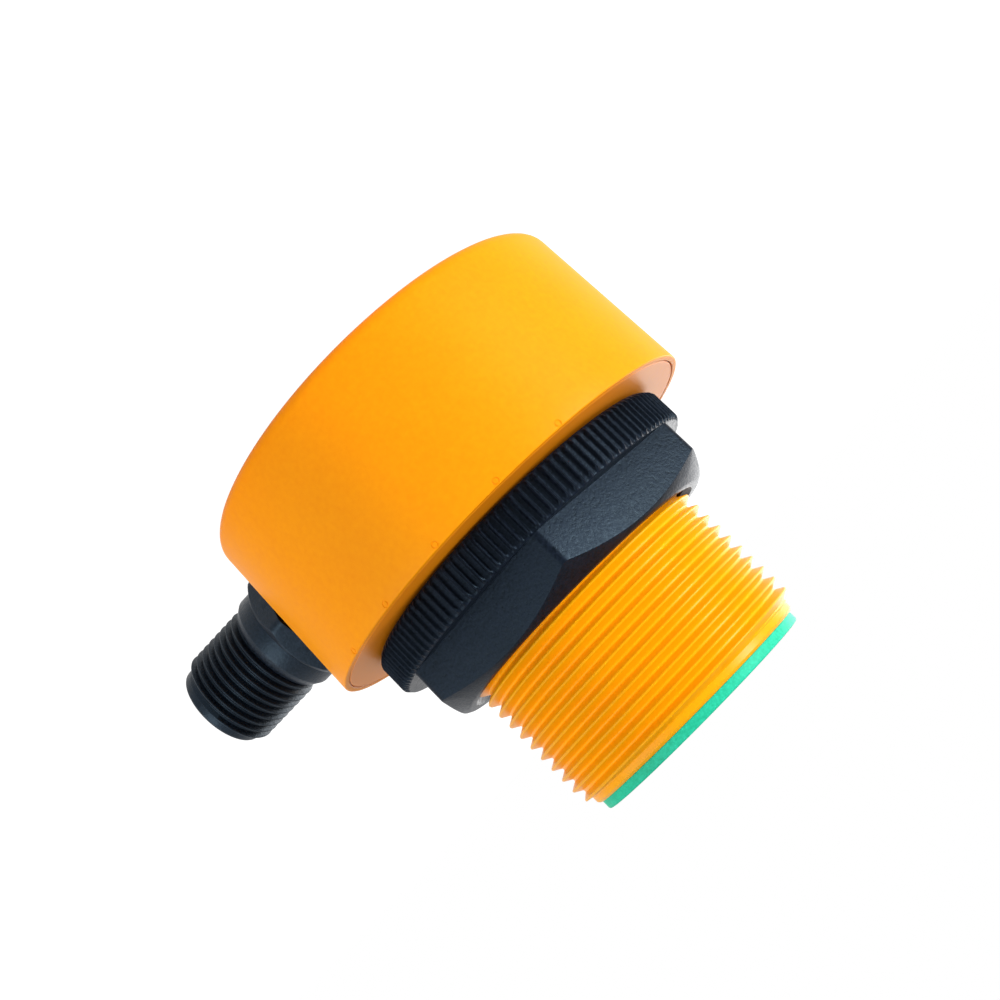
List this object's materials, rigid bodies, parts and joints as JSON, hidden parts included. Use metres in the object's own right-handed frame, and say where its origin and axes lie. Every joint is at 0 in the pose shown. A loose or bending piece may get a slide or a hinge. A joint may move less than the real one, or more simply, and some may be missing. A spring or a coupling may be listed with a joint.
{
  "type": "ultrasonic distance sensor",
  "caption": "Short ultrasonic distance sensor: drum-shaped rear housing, threaded barrel with a flat sensing face, ribbed lock nut and a round plug on the side.",
  "frame": {"origin": "centre of the drum's flat back face", "axes": "+Z along the barrel towards the sensing face, +X towards the side plug's open end"},
  "size_m": [0.0628, 0.0484, 0.0471],
  "materials": {
    "orange_plastic": "moulded, fine texture",
    "yellow_plastic": "moulded, satin",
    "green_epoxy": "cast, satin",
    "black_plastic": "glass-filled moulding, matte",
    "black_rubber": "moulded, matte",
    "cork_foam": "soft, open-pored",
    "ceramic": "fired, silvered faces",
    "grey_resin": "cast resin",
    "circuit_board": "solder mask",
    "chip_black": "moulded",
    "ferrite": "sintered",
    "bright_tin": "drawn can",
    "gold_plate": "gold-plated",
    "zinc_steel": "zinc-plated",
    "nickel_brass": "nickel-plated",
    "red_insulation": "wire insulation",
    "white_insulation": "wire insulation"
  },
  "bodies": {
    "housing": {"backing_block": "grey_resin", "board_header": "chip_black", "board_screw_1": "zinc_steel", "board_screw_2": "zinc_steel", "board_screw_3": "zinc_steel", "connector_body": "black_plastic", "connector_nut": "nickel_brass", "connector_seal": "black_rubber", "contact_carrier": "chip_black", "contact_pin_1": "gold_plate", "contact_pin_2": "gold_plate", "contact_pin_3": "gold_plate", "contact_pin_4": "gold_plate", "contact_pin_5": "gold_plate", "controller_chip": "chip_black", "decoupling_ring": "cork_foam", "driver_board": "circuit_board", "filter_capacitor": "bright_tin", "front_plate": "orange_plastic", "housing_cup": "orange_plastic", "main_board": "circuit_board", "output_transistor": "chip_black", "piezo_disc": "ceramic", "piezo_lead_1": "red_insulation", "piezo_lead_2": "white_insulation", "pulse_transformer": "ferrite", "receiver_chip": "chip_black", "sensing_face": "green_epoxy", "temperature_sensor": "chip_black", "terminal_board": "circuit_board", "threaded_barrel": "yellow_plastic", "timing_crystal": "bright_tin", "voltage_regulator": "chip_black"},
    "seal": {"sealing_ring": "black_rubber"},
    "nut": {"lock_nut": "black_plastic"}
  },
  "joints": [
    {"name": "nut_advance", "type": "slide", "parent": "housing", "child": "seal", "axis": [0, 0, 1], "range_m": [0, 0.0135]},
    {"name": "nut_turn", "type": "hinge", "parent": "seal", "child": "nut", "pos_m": [0, 0, 0.0203], "axis": [0, 0, 1], "range_deg": [0, 3240]}
  ],
  "couplings": [
    {"joint": "nut_advance", "follows": "nut_turn", "m_per_rad": 0.00023873}
  ]
}
